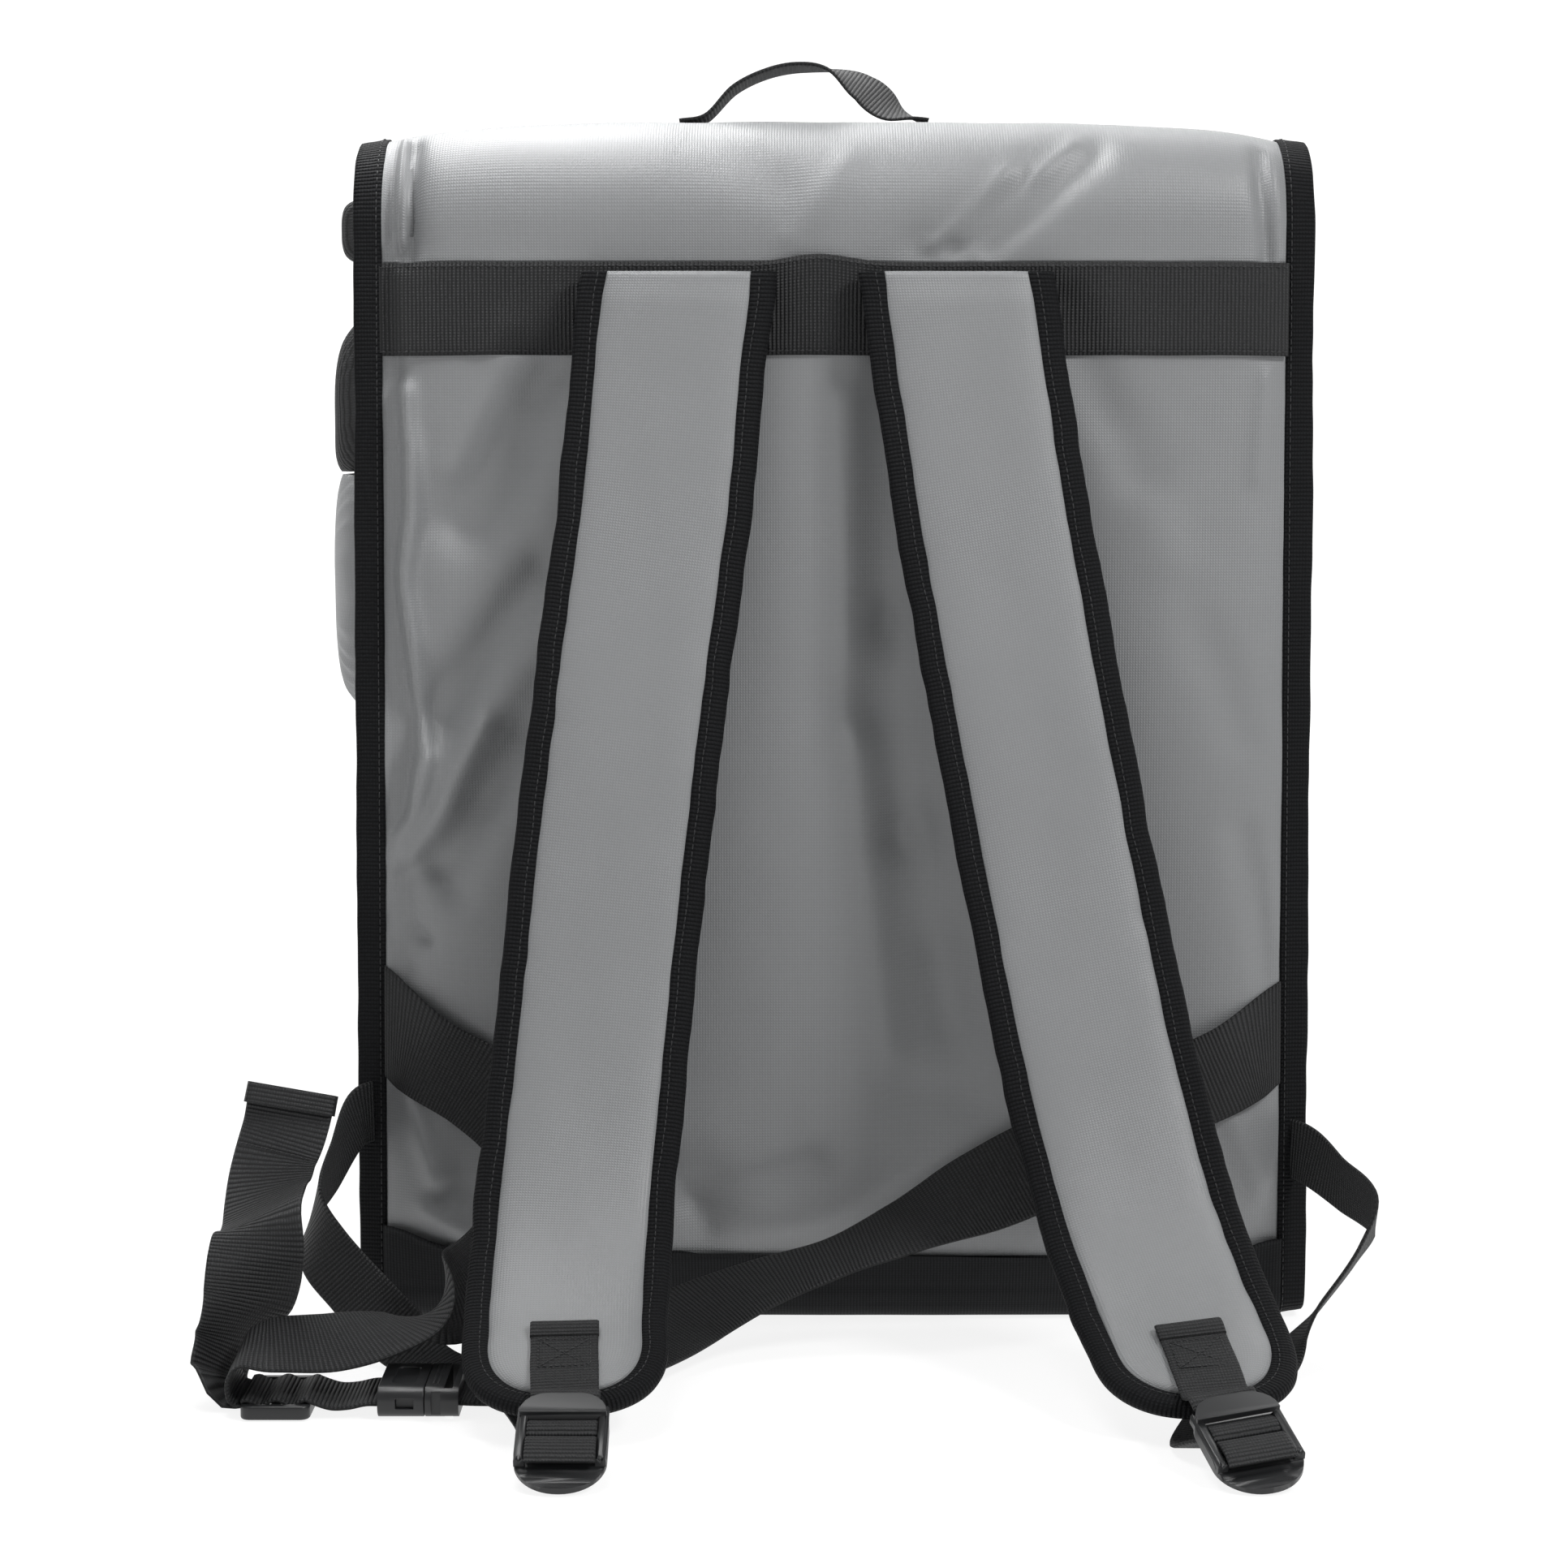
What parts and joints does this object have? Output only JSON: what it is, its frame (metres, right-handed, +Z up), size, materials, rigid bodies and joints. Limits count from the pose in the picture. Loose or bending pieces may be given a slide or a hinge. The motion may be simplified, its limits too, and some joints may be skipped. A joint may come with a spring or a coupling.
{
  "type": "insulated delivery backpack",
  "caption": "Insulated box-shaped delivery backpack with a padded grey body, rolled lid, padded shoulder straps, webbing hip belt, buckle and side pocket.",
  "frame": {"origin": "centre of the flat base that the bag stands on, at floor level", "axes": "+Z up, -Y towards the side with the shoulder straps, which is worn against the back, X across the bag; left is -X as seen from the strap side"},
  "size_m": [0.4783, 0.5177, 0.5371],
  "materials": {
    "grey_tarp": "satin coated cloth",
    "grey_strap": "satin coated cloth over foam",
    "black_cloth": "matte",
    "black_tape": "ribbed matte",
    "black_webbing": "ribbed matte",
    "black_plastic": "satin"
  },
  "bodies": {
    "root": {"body_shell": "grey_tarp", "lid": "grey_tarp", "base_cover": "black_cloth", "top_band": "black_webbing", "carry_handle": "black_webbing", "side_binding_left": "black_tape", "side_binding_right": "black_tape", "shoulder_strap_left": "grey_strap", "shoulder_strap_right": "grey_strap", "strap_binding_left": "black_tape", "strap_binding_right": "black_tape", "strap_tab_left": "black_webbing", "strap_tab_right": "black_webbing", "ladder_lock_left": "black_plastic", "ladder_lock_right": "black_plastic", "lower_webbing_left": "black_webbing", "lower_webbing_right": "black_webbing", "hip_belt_left": "black_webbing", "hip_belt_right": "black_webbing", "belt_slider": "black_plastic", "belt_link": "black_webbing", "belt_tail": "black_webbing", "buckle_socket": "black_plastic", "buckle_plug": "black_plastic", "side_pocket_left": "grey_tarp", "side_flap_left": "black_webbing", "side_tab_left": "black_webbing"}
  },
  "joints": []
}
